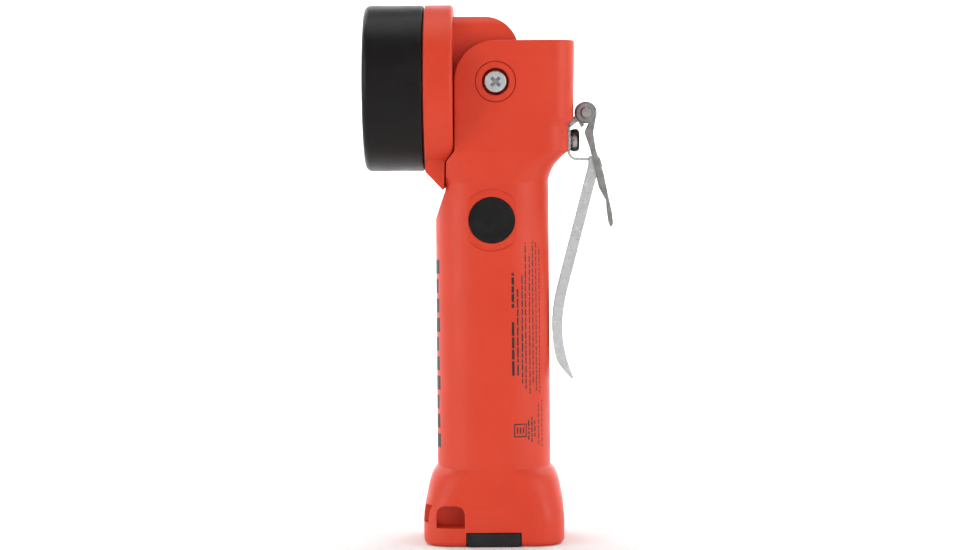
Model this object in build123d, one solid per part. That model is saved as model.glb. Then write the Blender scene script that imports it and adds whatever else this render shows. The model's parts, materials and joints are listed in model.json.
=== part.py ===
from build123d import *
from math import cos, hypot, radians, sin, sqrt
import os

# Right-angle firefighter flashlight with a tilting head and a spring jaw clip.
# +Z runs up the grip, the lamp faces -X, the clip is on +X, the switch is on -Y.
# The origin is the middle of the flat foot.  All sizes are in millimetres.

# ---- battery pack: sets the inside of the grip and most of its length ----
CELL_D = 14.2
CELL_L = 48.5
CELL_GAP = 0.4
CELL_NUB_R = 2.6
CELL_NUB_H = 0.6
CELL_EDGE_R = 0.8
PACK_SLEEVE_T = 0.8
PACK_CAP_T = 1.2
PACK_FIT = 0.5
PACK_FLAT = 0.05
PACK_CONTACT_R = 4.0
PACK_CONTACT_T = 0.4

# ---- grip ----
GRIP_WALL_X = 5.4
GRIP_WALL_Y = 4.4
GRIP_CORNER_R = 17.0
CAVITY_HALF_Y = 15.0
CAVITY_FLAT = 2.0

# ---- base and battery door ----
BASE_FLARE_X = 5.0
BASE_FLARE_Y = 4.2
BASE_CORNER_R = 11.0
BASE_BAND_H = 12.0
BASE_TAPER_H = 13.0
BASE_SHOULDER_H = 3.2
BASE_TAPER_IN_X = 2.5
BASE_TAPER_IN_Y = 3.6
BASE_EASE = 4.0
BASE_EASE_STEPS = 4
BASE_EDGE_R = 2.4
DOOR_RECESS = 0.0
DOOR_T = 3.2
DOOR_SEAL_T = 1.3
DOOR_GAP = 0.3
DOOR_LEDGE = 2.8
DOOR_TAB_W = 19.8
DOOR_TAB_H = 5.0
DOOR_TAB_CHAMFER = 1.0
DOOR_TAB_PROUD = 0.2
SEAL_W = 2.0
SEAL_IN = 0.2
DOOR_PIN_R = 1.0
DOOR_KNUCKLE_R = 2.2
DOOR_PIN_BITE = 2.6
DOOR_PAD_T = 1.6
PAD_IN = 4.0
PIN_RUN = 0.05
LANYARD_W = 10.4
LANYARD_LOW = 7.0
LANYARD_H = 8.0
LANYARD_POST = 5.0
LANYARD_DEPTH = 10.0
LANYARD_ARCH_SHARE = 0.4
LANYARD_SIDE_RISE = 1.5

# ---- switch ----
BUTTON_R = 8.5
BUTTON_RUN = 0.08
BUTTON_T = 2.1
BUTTON_FLANGE = 1.2
BUTTON_FLANGE_T = 1.2
BUTTON_TRAVEL = 1.0
BUTTON_PROUD = 0.3
BUTTON_STEM_R = 2.6
BUTTON_STEM_L = 2.0
SCOOP_R = 11.5
SCOOP_DEPTH = 0.7
RETAINER_T = 1.2
RETAINER_AIR = 0.1
RETAINER_HOLE_R = 6.0
SWITCH_BODY = 6.0
SWITCH_BODY_H = 2.2
SWITCH_KEY_R = 1.6
SWITCH_KEY_H = 0.8
BOARD_T = 1.6
BOARD_W = 20.0
BOARD_H = 34.0
BOARD_LIFT = 0.4
BOARD_X = 0.0
BOARD_HOLE_R = 0.8
BOARD_HOLE_IN = 2.0
BOARD_HOLE_DROP = 2.5
BOARD_BLOCKS = [(-8, -1, 4, 11, 3.2), (2, 7, 5, 10, 1.2), (-6, -2, 15, 20, 1.4)]
CAPACITOR_R = 2.6
CAPACITOR_H = 4.2
CAPACITOR_X = 5.0
CAPACITOR_Z = 17.0

# ---- bulkhead over the battery ----
SPRING_ROOM = 3.8
BULKHEAD_T = 2.0
BULKHEAD_LEDGE = 2.4
BULKHEAD_FIT = 0.2
BUTTON_AIR = 0.1
BULKHEAD_SCREW_R = 1.1
BULKHEAD_SCREW_INSET = 1.9
BULKHEAD_SCREW_HEAD_R = 1.7
BULKHEAD_SCREW_HEAD_H = 1.3
BULKHEAD_SCREW_L = 6.0
COIL_WIRE_R = 0.35
COIL_R = 3.2
COIL_TURNS = 3

# ---- neck and hood ----
PIVOT_ABOVE_BUTTON = 50.9
PIVOT_X = 1.8
NOSE_R = 15.2
FLARE_H = 11.5
FLARE_STATIONS = [0.0, 0.38, 0.7, 1.0]
HOOD_FLARE_Y = 1.7
HOOD_CORNER_R = 9.0
HOOD_REAR_WALL = 4.5
HOOD_REAR_LEAN = 0.5
CLIP_SEAT_IN = 2.6
CLIP_SEAT_TOP_BELOW_PIVOT = 16.3
CLIP_SEAT_BOTTOM_BELOW_PIVOT = 25.8
HOOD_EDGE_R = 1.0
NECK_LEAN = 0.5
NECK_LOW_BELOW_PIVOT = 39.8
NECK_MID_BELOW_PIVOT = 29.3
NECK_TOP_BELOW_PIVOT = 25.2
NECK_STEP = 3.2
NECK_SLOPE_RUN = 10.7
NECK_RUN_OUT = 3.0
NECK_RUN_OUT_LEAN = 0.9
UPPER_CAVITY_W = 23.5
UPPER_CAVITY_FRONT_WALL = 4.4
UPPER_CAVITY_R = 5.0
SLOT_FLOOR_T = 5.4
GROMMET_R = 3.4
GROMMET_BORE_R = 1.9
GROMMET_LOW_AIR = 0.2
GROMMET_TOP_AIR = 1.0

# ---- tilting head ----
HEAD_R = 30.9
HEAD_DROP = 2.1
HEAD_GAP = 0.5
RING_L = 10.5
RING_EDGE_R = 1.4
BARREL_HALF_W = 15.5
BARREL_SIDE_GAP = 0.4
BARREL_TOP_R = 6.6
DOME_RISE = 24.2
DOME_R = 13.3
DOME_BACK = 4.6
DRUM_GAP = 0.4
DRUM_RUN = 0.3
HEAD_WALL = 3.0
CHIN_LIP = 0.4
BEZEL_GAP = 0.6
BEZEL_L = 22.0
BEZEL_CORNER_R = 2.4
BEZEL_MOUTH_EDGE = 0.8
BEZEL_REAR_CHAMFER = 0.4
BEZEL_LIP_T = 1.5
BEZEL_LIP_IN = 2.6
COLLAR_WALL = 2.4
BEZEL_WALL = 3.8
THREAD_FIT = 0.1
COLLAR_FRONT_AIR = 0.3
LENS_T = 3.0
LENS_FIT = 0.2
LENS_CHAMFER = 0.3
LENS_GASKET_T = 1.0
LENS_GASKET_W = 2.0
REFLECTOR_FLANGE_T = 1.2
REFLECTOR_T = 1.2
REFLECTOR_THROAT_R = 4.6
BOWL_STEPS = 8
HEAT_SINK_T = 5.0
HEAT_SINK_FIT = 0.3
STAR_R = 9.5
STAR_T = 1.6
STAR_SIDES = 6
STAR_NOTCH_R = 1.4
LED_SIDE = 5.0
LED_BASE_T = 0.9
LED_DOME_R = 1.9
ORING_R = 0.9
ORING_BACK = 3.0
ORING_SEAT_SHARE = 1.6
HEAD_HOLE_R = 12.5
WIRE_ENTRY_R = 2.2
LENS_STEP = 0.4
REFLECTOR_FIT = 0.3
REFLECTOR_REAR_AIR = 0.5
HEAD_SCREW_RING_R = 17.5
HEAD_SCREW_R = 1.3
HEAD_SCREW_HEAD_R = 2.5
HEAD_SCREW_HEAD_H = 1.6
HEAD_SCREW_L = 5.0
HEAD_SCREW_BITE = 2.2
HEAD_SCREW_HEAD_FIT = 0.2
HEAD_SCREWS = 3

# ---- pivots ----
BUSH_R = 7.5
BUSH_SINK = 0.2
BUSH_RUN = 0.08
BUSH_BORE_R = 2.3
BUSH_COUNTERBORE_R = 5.05
BUSH_COUNTERBORE_DEPTH = 3.0
PIVOT_SCREW_R = 2.0
PIVOT_SCREW_HEAD_R = 4.5
PIVOT_SCREW_HEAD_H = 2.3
PIVOT_SCREW_L = 8.0
INSERT_WALL = 1.0
INSERT_L = 6.0
BOSS_WALL = 1.6
BUSH_EDGE_R = 0.5
CROSS_SPAN = 4.2
CROSS_WIDTH = 1.1
CROSS_DEPTH = 1.4
SCREW_FIT = 0.05
INSERT_END_AIR = 0.5
THREAD_TIP_SHARE = 0.3
PAN_EDGE_SHARE = 0.55
SLOT_W_SHARE = 0.35
SLOT_DEPTH_SHARE = 0.8
CROSS_CORE_SHARE = 1.5
DRIVER_TURN = 45

# ---- cutting ----
BEYOND = 5.0
NEAR = 0.01

# ---- clip ----
STRIP_T = 1.0
STRIP_HALF_W = 8.0
CLIP_BOLT_R = 2.0
CLIP_BOLT_RUN = 0.08
KNUCKLE_T = 2.0
CLIP_BOLT_OUT = 4.2
CLIP_BOLT_BELOW_PIVOT = 11.6
KNUCKLE_CORE_HALF = 4.2
KNUCKLE_SIDE_GAP = 0.3
KNUCKLE_SPRING_HALF = 2.4
CLIP_KNUCKLE_AIR = 0.25
CLIP_HEAD_T = 2.8
NUT_FLATS = 7.0
NUT_T = 3.2
STUD_OUT = 1.0
HEX_SIDES = 6
HEX_CORNER_OFF = 0.15
HEX_CHAMFER = 0.4
STRAP_DROP = 17.8
STRAP_BEND_R = 2.4
STRAP_HALF_W = 5.2
STRAP_END_OUT = 1.4
PLATE_TOP_DROP = 5.2
PLATE_LOW_RISE = 1.0
NECK_LAP = 0.3
BRACKET_NECK = [(-2.4, -3.0), (-3.9, -1.0)]
SPRING_SLOT_DEEP = 1.0
CLIP_SCREW_HEAD_R = 4.3
CLIP_SCREW_HEAD_H = 2.7
CLIP_SCREW_R = 2.2
CLIP_SCREW_L = 9.0
CLIP_SCREW_BELOW_BOLT = 10.3
WASHER_T = 0.8
WASHER_R = 4.0
WASHER_TEETH = 12
WASHER_NOTCH_DEEP = 1.4
WASHER_NOTCH_W = 0.8
LEVER_T = 1.2
LEVER_FLANGE_T = 1.0
TAB_END_DROP = 42.2
TAB_END_OUT = 9.6
TAB_INNER_OUT = 8.6
LEVER_EYE_WALL = 0.6
LEVER_BACK = [(3.3, -4.2), (2.7, -7.3), (3.6, -13.6), (6.5, -22.7), (7.8, -29.2), (9.5, -37.1), (9.9, -41.0)]
LEVER_EDGE = [(1.2, -4.0), (-0.4, -7.3), (1.7, -13.6), (3.5, -21.4), (4.9, -28.0), (7.3, -32.6), (8.4, -41.0)]
LEVER_TAIL = [(-4.0, -0.8), (-2.6, -0.8), (-0.6, -4.6), (-1.6, -5.6)]
TAIL_ROOM_IN = 7.0
TAIL_ROOM_OUT = 2.2
TAIL_ROOM_DROP = 7.0
CHANNEL_REACH = 20.0
LEAF_T = 1.0
LEAF_FLANGE_T = 1.0
LEAF_HALF_W = 6.8
LEAF_FLANGE = 2.8
LEAF_NIP_GAP = 1.0
LEAF_NIP_Z = 79.5
LEAF_CURVE_Z = 93.0
LEAF_TOE_Z = 61.0
LEAF_TOE_OUT = 4.1
LEAF_TAPER_Z = 68.0
RIVET_R = 1.4
RIVET_HEAD_R = 1.9
RIVET_HEAD_T = 0.5
RIVET_SPREAD = 3.2
RIVET_SHARE = 0.55
RIVET_SEAT = 0.05
LEAF_TOP_SHARE = 0.22
LEAF_BEND_SHARE = 0.76
LEAF_TOP_TAPER = 0.5
LEAF_BOW = 1.7
LEAF_BOW_STEPS = 4
LEAF_TOE_STEPS = 5
RIVET_HOLE_L = 12.0
BOLT_END_GAP = 0.2
TORSION_LEG = 3.0
TORSION_R = 2.75
TORSION_WIRE_R = 0.4
TORSION_TURNS = 3

# ---- wires ----
WIRE_R = 0.6
WIRE_GAP = 1.7
WIRE_CLEAR = 1.5
WIRE_BEND_R = 1.9
WIRE_BOARD_RUN = 8.0
WIRE_BOARD_RISE = 5.0
WIRE_END_AIR = 0.6

# ---- worked-out places: battery and door ----
cavity_x = 2 * CELL_D + CELL_GAP + 2 * PACK_SLEEVE_T + 2 * PACK_FIT
cavity_y = 2 * CAVITY_HALF_Y
cavity_r = cavity_y / 2 - CAVITY_FLAT
grip_x = cavity_x + 2 * GRIP_WALL_X
grip_y = cavity_y + 2 * GRIP_WALL_Y
grip_front = -grip_x / 2
grip_rear = grip_x / 2
base_x = grip_x + 2 * BASE_FLARE_X
base_y = grip_y + 2 * BASE_FLARE_Y
base_top = BASE_BAND_H + BASE_TAPER_H + BASE_SHOULDER_H
base_taper_r = (BASE_CORNER_R + GRIP_CORNER_R) / 2
door_top = DOOR_RECESS + DOOR_T
pocket_top = door_top + DOOR_SEAL_T + PIN_RUN
door_x = cavity_x + 2 * DOOR_LEDGE
door_front_y = -cavity_y / 2 - DOOR_LEDGE
door_pin_y = cavity_y / 2 + SEAL_W + DOOR_KNUCKLE_R + BUTTON_AIR
door_pin_z = DOOR_RECESS + DOOR_KNUCKLE_R
pocket_back_y = door_pin_y + DOOR_KNUCKLE_R + DOOR_GAP
pack_bottom = door_top + DOOR_PAD_T + DOOR_GAP
pack_top = pack_bottom + 2 * CELL_L + 2 * PACK_CAP_T
bulkhead_low = pack_top + SPRING_ROOM
bulkhead_top = bulkhead_low + BULKHEAD_T

# ---- worked-out places: switch, neck, hood ----
button_z = bulkhead_top + BUTTON_R + BUTTON_FLANGE + DOOR_GAP + BUTTON_AIR
pivot_z = button_z + PIVOT_ABOVE_BUTTON
hood_y = grip_y + 2 * HOOD_FLARE_Y
slot_half = BARREL_HALF_W + BARREL_SIDE_GAP
cheek_y = hood_y / 2
hood_top = pivot_z + NOSE_R
hood_front = PIVOT_X - NOSE_R
slot_rear = PIVOT_X + DOME_RISE + DRUM_GAP
hood_rear = slot_rear + HOOD_REAR_WALL
seat_x = hood_rear - CLIP_SEAT_IN
seat_top = pivot_z - CLIP_SEAT_TOP_BELOW_PIVOT
seat_bottom = pivot_z - CLIP_SEAT_BOTTOM_BELOW_PIVOT
flare_low = seat_bottom - FLARE_H
scoop_y = -grip_y / 2 + SCOOP_DEPTH
button_face = scoop_y - BUTTON_PROUD
upper_front = hood_front - NECK_STEP + UPPER_CAVITY_FRONT_WALL
upper_rear = upper_front + UPPER_CAVITY_W
upper_mid = (upper_front + upper_rear) / 2
drum_r = NOSE_R - DRUM_RUN
slot_floor = pivot_z - NOSE_R
upper_top = slot_floor - SLOT_FLOOR_T

# ---- worked-out places: head ----
head_z = pivot_z - HEAD_DROP
ring_rear = hood_front - HEAD_GAP
ring_front = ring_rear - RING_L
bezel_rear = ring_front - BEZEL_GAP
bezel_front = bezel_rear - BEZEL_L
lip_rear = bezel_front + BEZEL_LIP_T
collar_r = HEAD_R - BEZEL_WALL
collar_in = collar_r - COLLAR_WALL
lens_front = lip_rear + LENS_GASKET_T
lens_rear = lens_front + LENS_T
collar_front = lens_rear + REFLECTOR_FLANGE_T
head_floor = ring_rear - HEAD_WALL
sink_front = head_floor - HEAT_SINK_T
star_front = sink_front - STAR_T
led_front = star_front - LED_BASE_T
barrel_top = pivot_z + DOME_RISE

# ---- worked-out places: clip ----
bolt_x = seat_x + CLIP_SEAT_IN + CLIP_BOLT_OUT
bolt_z = pivot_z - CLIP_BOLT_BELOW_PIVOT
knuckle_in = CLIP_BOLT_R + CLIP_BOLT_RUN
knuckle_out = knuckle_in + KNUCKLE_T
strap_end = bolt_x + STRAP_END_OUT
strap_z = bolt_z - STRAP_DROP
screw_z = bolt_z - CLIP_SCREW_BELOW_BOLT
nip_x = grip_rear + LEAF_NIP_GAP + LEAF_FLANGE + LEAF_T

# ---- worked-out places: small parts ----
lens_r = collar_r - LENS_STEP
oring_x = bezel_rear - ORING_BACK
oring_low = collar_r - ORING_R * ORING_SEAT_SHARE
sink_hole_y = HEAD_HOLE_R - WIRE_CLEAR
bulkhead_screw_x = cavity_x / 2 - BULKHEAD_SCREW_INSET
tab_face_y = -base_y / 2 - DOOR_TAB_PROUD
retainer_y = button_face + BUTTON_T + BUTTON_FLANGE_T + BUTTON_TRAVEL + RETAINER_AIR
switch_y = retainer_y + BUTTON_STEM_L + SWITCH_KEY_H
board_y = switch_y + SWITCH_BODY_H


# ---- plain helpers ----
def box(x0, x1, y0, y1, z0, z1):
    """A block given by its two corners."""
    block = Box(x1 - x0, y1 - y0, z1 - z0)
    return Pos((x0 + x1) / 2, (y0 + y1) / 2, (z0 + z1) / 2) * block


def rod_x(radius, x0, x1, y=0.0, z=0.0):
    """A round bar along X."""
    return Pos((x0 + x1) / 2, y, z) * Rot(0, 90, 0) * Cylinder(radius, abs(x1 - x0))


def rod_y(radius, y0, y1, x=0.0, z=0.0):
    """A round bar along Y."""
    return Pos(x, (y0 + y1) / 2, z) * Rot(90, 0, 0) * Cylinder(radius, abs(y1 - y0))


def rod_z(radius, z0, z1, x=0.0, y=0.0):
    """A round bar along Z."""
    return Pos(x, y, (z0 + z1) / 2) * Cylinder(radius, abs(z1 - z0))


def side_plate(points, y0, y1):
    """A plate with an outline in X and Z, between two places along Y."""
    face = make_face(Polyline(*points, close=True))
    return Pos(0, y1, 0) * extrude(Plane.XZ * face, amount=y1 - y0)


def side_disc(x, z, radius, half):
    """A disc across the middle plane, as thick as twice half."""
    return rod_y(radius, -half, half, x, z)


def pill(x_size, y_size, radius, z0, z1, x=0.0):
    """An upright bar with a rounded rectangular section."""
    section = Pos(x, 0, z0) * RectangleRounded(x_size, y_size, radius)
    return extrude(section, amount=z1 - z0)


def turned_x(points, y=0.0, z=0.0):
    """A body turned about a line along X, from (x, radius) points."""
    face = make_face(Polyline(*points, close=True))
    body = revolve(face, axis=Axis.X, revolution_arc=360)
    return Pos(0, y, z) * body


def tube_path(points, radii, radius):
    """A round wire along straight runs joined by arcs."""
    path = FilletPolyline(*points, radius=radii)
    start = Plane(origin=path @ 0, z_dir=path % 0)
    return sweep(start * Circle(radius), path=path)


def coil(radius, wire_r, pitch, turns):
    """A round wire coil about Z, from z = 0 up."""
    line = Helix(pitch=pitch, height=pitch * turns, radius=radius)
    start = Plane(origin=line @ 0, z_dir=line % 0)
    return sweep(start * Circle(wire_r), path=line, is_frenet=True)


def cross_recess(z):
    """The four-armed driver recess that is cut down from height z."""
    arm = Box(CROSS_SPAN, CROSS_WIDTH, CROSS_DEPTH)
    core = Rot(0, 0, 45) * Box(CROSS_WIDTH * CROSS_CORE_SHARE, CROSS_WIDTH * CROSS_CORE_SHARE, CROSS_DEPTH)
    return Pos(0, 0, z - CROSS_DEPTH / 2) * (arm + Rot(0, 0, 90) * arm + core)


def pan_screw(shank_r, shank_l, head_r, head_h, turn=0.0):
    """A pan head screw standing on z = 0, with its shank below."""
    head = Cylinder(head_r, head_h)
    head = fillet(head.edges().filter_by(GeomType.CIRCLE).sort_by(Axis.Z)[-1], head_h * PAN_EDGE_SHARE)
    head = Pos(0, 0, head_h / 2) * head
    shank = Pos(0, 0, -shank_l / 2) * Cylinder(shank_r, shank_l)
    tip = shank.edges().filter_by(GeomType.CIRCLE).sort_by(Axis.Z)[0]
    shank = chamfer(tip, shank_r * THREAD_TIP_SHARE)
    screw = head + shank
    if head_r > CROSS_SPAN / 2:
        screw -= cross_recess(head_h)
    return Rot(0, 0, turn) * screw


def small_screw(shank_r, shank_l, head_r, head_h):
    """A slotted machine screw standing on z = 0, with its shank below."""
    head = Pos(0, 0, head_h / 2) * Cylinder(head_r, head_h)
    shank = Pos(0, 0, -shank_l / 2) * Cylinder(shank_r, shank_l)
    slot = Pos(0, 0, head_h) * Box(head_r * 2, head_r * SLOT_W_SHARE, head_h * SLOT_DEPTH_SHARE)
    return head + shank - slot


def ring(outer, inner, z0, z1):
    """A flat ring about Z."""
    return rod_z(outer, z0, z1) - rod_z(inner, z0 - 1, z1 + 1)


# ---- fixed body: the moulded grip, base, neck and hood ----
def part_way(start, end, share):
    """The row of sizes that lies that share of the way from one row to another."""
    return tuple(s + (e - s) * share for s, e in zip(start, end))


def eased(rows):
    """Rows of sizes by height, with each corner between two runs turned into a short curve."""
    smooth = [rows[0]]
    for before, corner, after in zip(rows, rows[1:], rows[2:]):
        low = part_way(corner, before, min(BASE_EASE / (corner[0] - before[0]), 0.5))
        high = part_way(corner, after, min(BASE_EASE / (after[0] - corner[0]), 0.5))
        for step in range(BASE_EASE_STEPS + 1):
            share = step / BASE_EASE_STEPS
            smooth.append(part_way(part_way(low, corner, share), part_way(corner, high, share), share))
    return smooth + [rows[-1]]


def grip_outside():
    """The outer shape of the one-piece moulding, still solid."""
    body = pill(grip_x, grip_y, GRIP_CORNER_R, base_top, flare_low)
    taper_top = BASE_BAND_H + BASE_TAPER_H
    rows = [
        (0, base_x, base_y, BASE_CORNER_R),
        (BASE_BAND_H, base_x, base_y, BASE_CORNER_R),
        (taper_top, base_x - 2 * BASE_TAPER_IN_X, base_y - 2 * BASE_TAPER_IN_Y, base_taper_r),
        (base_top, grip_x, grip_y, GRIP_CORNER_R),
    ]
    faces = [Pos(0, 0, z) * RectangleRounded(x, y, r) for z, x, y, r in eased(rows)]
    return body + loft(faces, ruled=True)


def hood_outside():
    """The flare and the hood, as sections with a straight front and a stepped rear."""
    reach = seat_x - grip_rear
    flare = []
    for part in FLARE_STATIONS:
        rear = grip_rear + reach * part * part
        depth = rear - grip_front
        width = grip_y + (hood_y - grip_y) * part
        corner = GRIP_CORNER_R + (HOOD_CORNER_R - GRIP_CORNER_R) * part
        z = flare_low + FLARE_H * part
        flare.append(Pos((rear + grip_front) / 2, 0, z) * RectangleRounded(depth, width, corner))
    body = loft(flare)
    steps = [
        (seat_bottom, seat_x),
        (seat_top, seat_x),
        (seat_top + CLIP_SEAT_IN, hood_rear - HOOD_REAR_LEAN),
        (hood_top, hood_rear),
    ]
    faces = []
    for z, rear in steps:
        section = RectangleRounded(rear - grip_front, hood_y, HOOD_CORNER_R)
        faces.append(Pos((rear + grip_front) / 2, 0, z) * section)
    return body + loft(faces, ruled=True)


def neck_front_cut():
    """What is taken off in front of the neck and the cheeks."""
    low = pivot_z - NECK_LOW_BELOW_PIVOT
    mid = pivot_z - NECK_MID_BELOW_PIVOT
    top = pivot_z - NECK_TOP_BELOW_PIVOT
    front = grip_front - BEYOND
    neck = hood_front - NECK_STEP
    points = [
        (front, low - NECK_SLOPE_RUN - NECK_RUN_OUT),
        (grip_front - NECK_RUN_OUT_LEAN, low - NECK_SLOPE_RUN - NECK_RUN_OUT),
        (neck - NECK_LEAN, low),
        (neck, mid),
        (hood_front, top),
        (hood_front, hood_top + BEYOND),
        (front, hood_top + BEYOND),
    ]
    return side_plate(points, -hood_y, hood_y)


def nose_cut():
    """What is taken off outside the rounded front top corner of the cheeks."""
    block = box(hood_front - BEYOND, PIVOT_X, -hood_y, hood_y, pivot_z, hood_top + BEYOND)
    return block - side_disc(PIVOT_X, pivot_z, NOSE_R, hood_y)


def head_slot():
    """The space between the cheeks, which the barrel turns in."""
    half = slot_half
    drum = side_disc(PIVOT_X, pivot_z, NOSE_R, half)
    front = box(hood_front - BEYOND, PIVOT_X, -half, half, slot_floor, hood_top + BEYOND)
    top = box(PIVOT_X - 1, PIVOT_X + NOSE_R, -half, half, pivot_z, hood_top + BEYOND)
    dome_x = PIVOT_X + DOME_RISE - DOME_R
    dome_z = pivot_z + DOME_BACK
    dome = side_disc(dome_x, dome_z, DOME_R + DRUM_GAP, half)
    rear = box(dome_x, slot_rear, -half, half, dome_z, hood_top + BEYOND)
    return drum + front + top + dome + rear


def lanyard_tunnel():
    """The cord hole that runs round the front near corner post of the base."""
    left = -base_x / 2
    near = -base_y / 2
    low = LANYARD_LOW
    wide = LANYARD_W
    top = LANYARD_LOW + LANYARD_H
    face_hole = box(left + LANYARD_POST, left + LANYARD_POST + wide, near - 1, near + LANYARD_DEPTH, low, top)
    arch_edges = face_hole.edges().filter_by(Axis.Y).sort_by(Axis.Z)[-2:]
    face_hole = fillet(arch_edges, LANYARD_H * LANYARD_ARCH_SHARE)
    side_low = low + LANYARD_SIDE_RISE
    side_hole = box(left - 1, left + LANYARD_DEPTH, near + LANYARD_POST, near + LANYARD_DEPTH, side_low, top)
    return face_hole + side_hole


def door_pocket():
    """The recess under the base for the battery door and its near tab."""
    half = door_x / 2 + DOOR_GAP
    pocket = box(-half, half, door_front_y - DOOR_GAP, pocket_back_y, -1, pocket_top)
    tab_half = DOOR_TAB_W / 2 + DOOR_GAP
    tab_top = DOOR_RECESS + DOOR_TAB_H + DOOR_GAP
    notch = box(-tab_half, tab_half, -base_y, door_front_y + DOOR_GAP, -1, tab_top)
    pin_half = door_x / 2 + DOOR_PIN_BITE
    pin_hole = rod_x(DOOR_PIN_R + SCREW_FIT, -pin_half, pin_half, door_pin_y, door_pin_z)
    return pocket + notch + pin_hole


def inside_cavities():
    """The battery bay, the electronics bay above it and the wire passage."""
    bay = pill(cavity_x, cavity_y, cavity_r, 0, bulkhead_top)
    upper_y = cavity_y - 2 * BULKHEAD_LEDGE
    upper = pill(UPPER_CAVITY_W, upper_y, UPPER_CAVITY_R, bulkhead_top - 1, upper_top, upper_mid)
    passage = rod_z(GROMMET_R, upper_top - 1, slot_floor + 1, PIVOT_X, 0)
    return bay + upper + passage


def button_opening():
    """The stepped hole for the switch button, open to the electronics bay."""
    face = scoop_y - BEYOND
    inner = -cavity_y / 2 + BULKHEAD_LEDGE + 1
    flange_front = button_face + BUTTON_T
    hole = rod_y(BUTTON_R + BUTTON_RUN, face, inner, 0, button_z)
    pocket = rod_y(BUTTON_R + BUTTON_FLANGE + DOOR_GAP, flange_front, inner, 0, button_z)
    scoop = rod_y(SCOOP_R, -grip_y, scoop_y, 0, button_z)
    return hole + pocket + scoop


def handle_housing():
    """The finished moulding."""
    body = grip_outside() + hood_outside()
    foot_edges = body.edges().filter_by_position(Axis.Z, -NEAR, NEAR)
    body = fillet(foot_edges, BASE_EDGE_R)
    crown_edges = body.edges().filter_by_position(Axis.Z, hood_top - NEAR, hood_top + NEAR)
    body = fillet(crown_edges, HOOD_EDGE_R)
    body -= neck_front_cut()
    body -= nose_cut()
    body -= head_slot()
    body -= inside_cavities()
    body -= door_pocket()
    body -= button_opening()
    body -= lanyard_tunnel()
    body -= rod_y(BUSH_R + BUSH_RUN, -hood_y, hood_y, PIVOT_X, pivot_z)
    insert_r = CLIP_SCREW_R + INSERT_WALL
    body -= rod_x(insert_r, seat_x - CLIP_SCREW_L - INSERT_END_AIR, seat_x + BEYOND, 0, screw_z)
    for x in (-bulkhead_screw_x, bulkhead_screw_x):
        body -= rod_z(BULKHEAD_SCREW_R, bulkhead_top - 1, bulkhead_top + BULKHEAD_SCREW_L, x, 0)
    return body


# ---- fixed body: battery pack and bulkhead ----
def cell_places():
    """The middle of each cell's foot, in two columns of two."""
    offset = (CELL_D + CELL_GAP) / 2
    low = pack_bottom + PACK_CAP_T
    return [(x, z) for x in (-offset, offset) for z in (low, low + CELL_L)]


def battery_cells():
    """Four round cells, each with its raised contact end."""
    cells = []
    for x, z in cell_places():
        can = rod_z(CELL_D / 2, z, z + CELL_L - CELL_NUB_H, x)
        can = fillet(can.edges().filter_by(GeomType.CIRCLE), CELL_EDGE_R)
        nub = rod_z(CELL_NUB_R, z + CELL_L - CELL_NUB_H, z + CELL_L, x)
        cells.append(can + nub)
    return Compound(cells)


def pack_section(grow):
    """The racetrack outline round the two columns of cells."""
    width = 2 * CELL_D + CELL_GAP + 2 * grow
    depth = CELL_D + 2 * grow
    return width, depth, depth / 2 - PACK_FLAT


def battery_sleeve():
    """The thin sleeve round the four cells."""
    low = pack_bottom + PACK_CAP_T
    top = pack_top - PACK_CAP_T
    outer = pill(*pack_section(PACK_SLEEVE_T), low, top)
    return outer - pill(*pack_section(SCREW_FIT), low - 1, top + 1)


def battery_caps():
    """The insulating end plates of the pack."""
    low = pill(*pack_section(PACK_SLEEVE_T), pack_bottom, pack_bottom + PACK_CAP_T)
    top = pill(*pack_section(PACK_SLEEVE_T), pack_top - PACK_CAP_T, pack_top)
    for x in (-(CELL_D + CELL_GAP) / 2, (CELL_D + CELL_GAP) / 2):
        top -= rod_z(PACK_CONTACT_R, pack_top - PACK_CONTACT_T, pack_top + 1, x)
    return Compound([low, top])


def battery_contacts():
    """The two contact discs let into the top cap of the pack."""
    half = (CELL_D + CELL_GAP) / 2
    discs = [rod_z(PACK_CONTACT_R - SCREW_FIT, pack_top - PACK_CONTACT_T, pack_top, x) for x in (-half, half)]
    return Compound(discs)


def battery_springs():
    """The two coil springs between the pack and the bulkhead."""
    half = (CELL_D + CELL_GAP) / 2
    room = SPRING_ROOM - 2 * COIL_WIRE_R - 2 * SCREW_FIT
    wound = coil(COIL_R, COIL_WIRE_R, room / COIL_TURNS, COIL_TURNS)
    base = pack_top + COIL_WIRE_R + SCREW_FIT
    return Compound([Pos(x, 0, base) * wound for x in (-half, half)])


def bulkhead():
    """The plate that closes the battery bay off from the electronics."""
    fit = 2 * BULKHEAD_FIT
    plate = pill(cavity_x - fit, cavity_y - fit, cavity_r, bulkhead_low, bulkhead_top)
    for x in (-bulkhead_screw_x, bulkhead_screw_x):
        plate -= rod_z(BULKHEAD_SCREW_R + SCREW_FIT, bulkhead_low - 1, bulkhead_top + 1, x)
    return plate


def bulkhead_screws():
    """The two screws that hold the bulkhead up against its ledge."""
    screws = []
    for x in (-bulkhead_screw_x, bulkhead_screw_x):
        screw = small_screw(BULKHEAD_SCREW_R, BULKHEAD_SCREW_L, BULKHEAD_SCREW_HEAD_R, BULKHEAD_SCREW_HEAD_H)
        screws.append(Pos(x, 0, bulkhead_low) * Rot(180, 0, 0) * screw)
    return Compound(screws)


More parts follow.
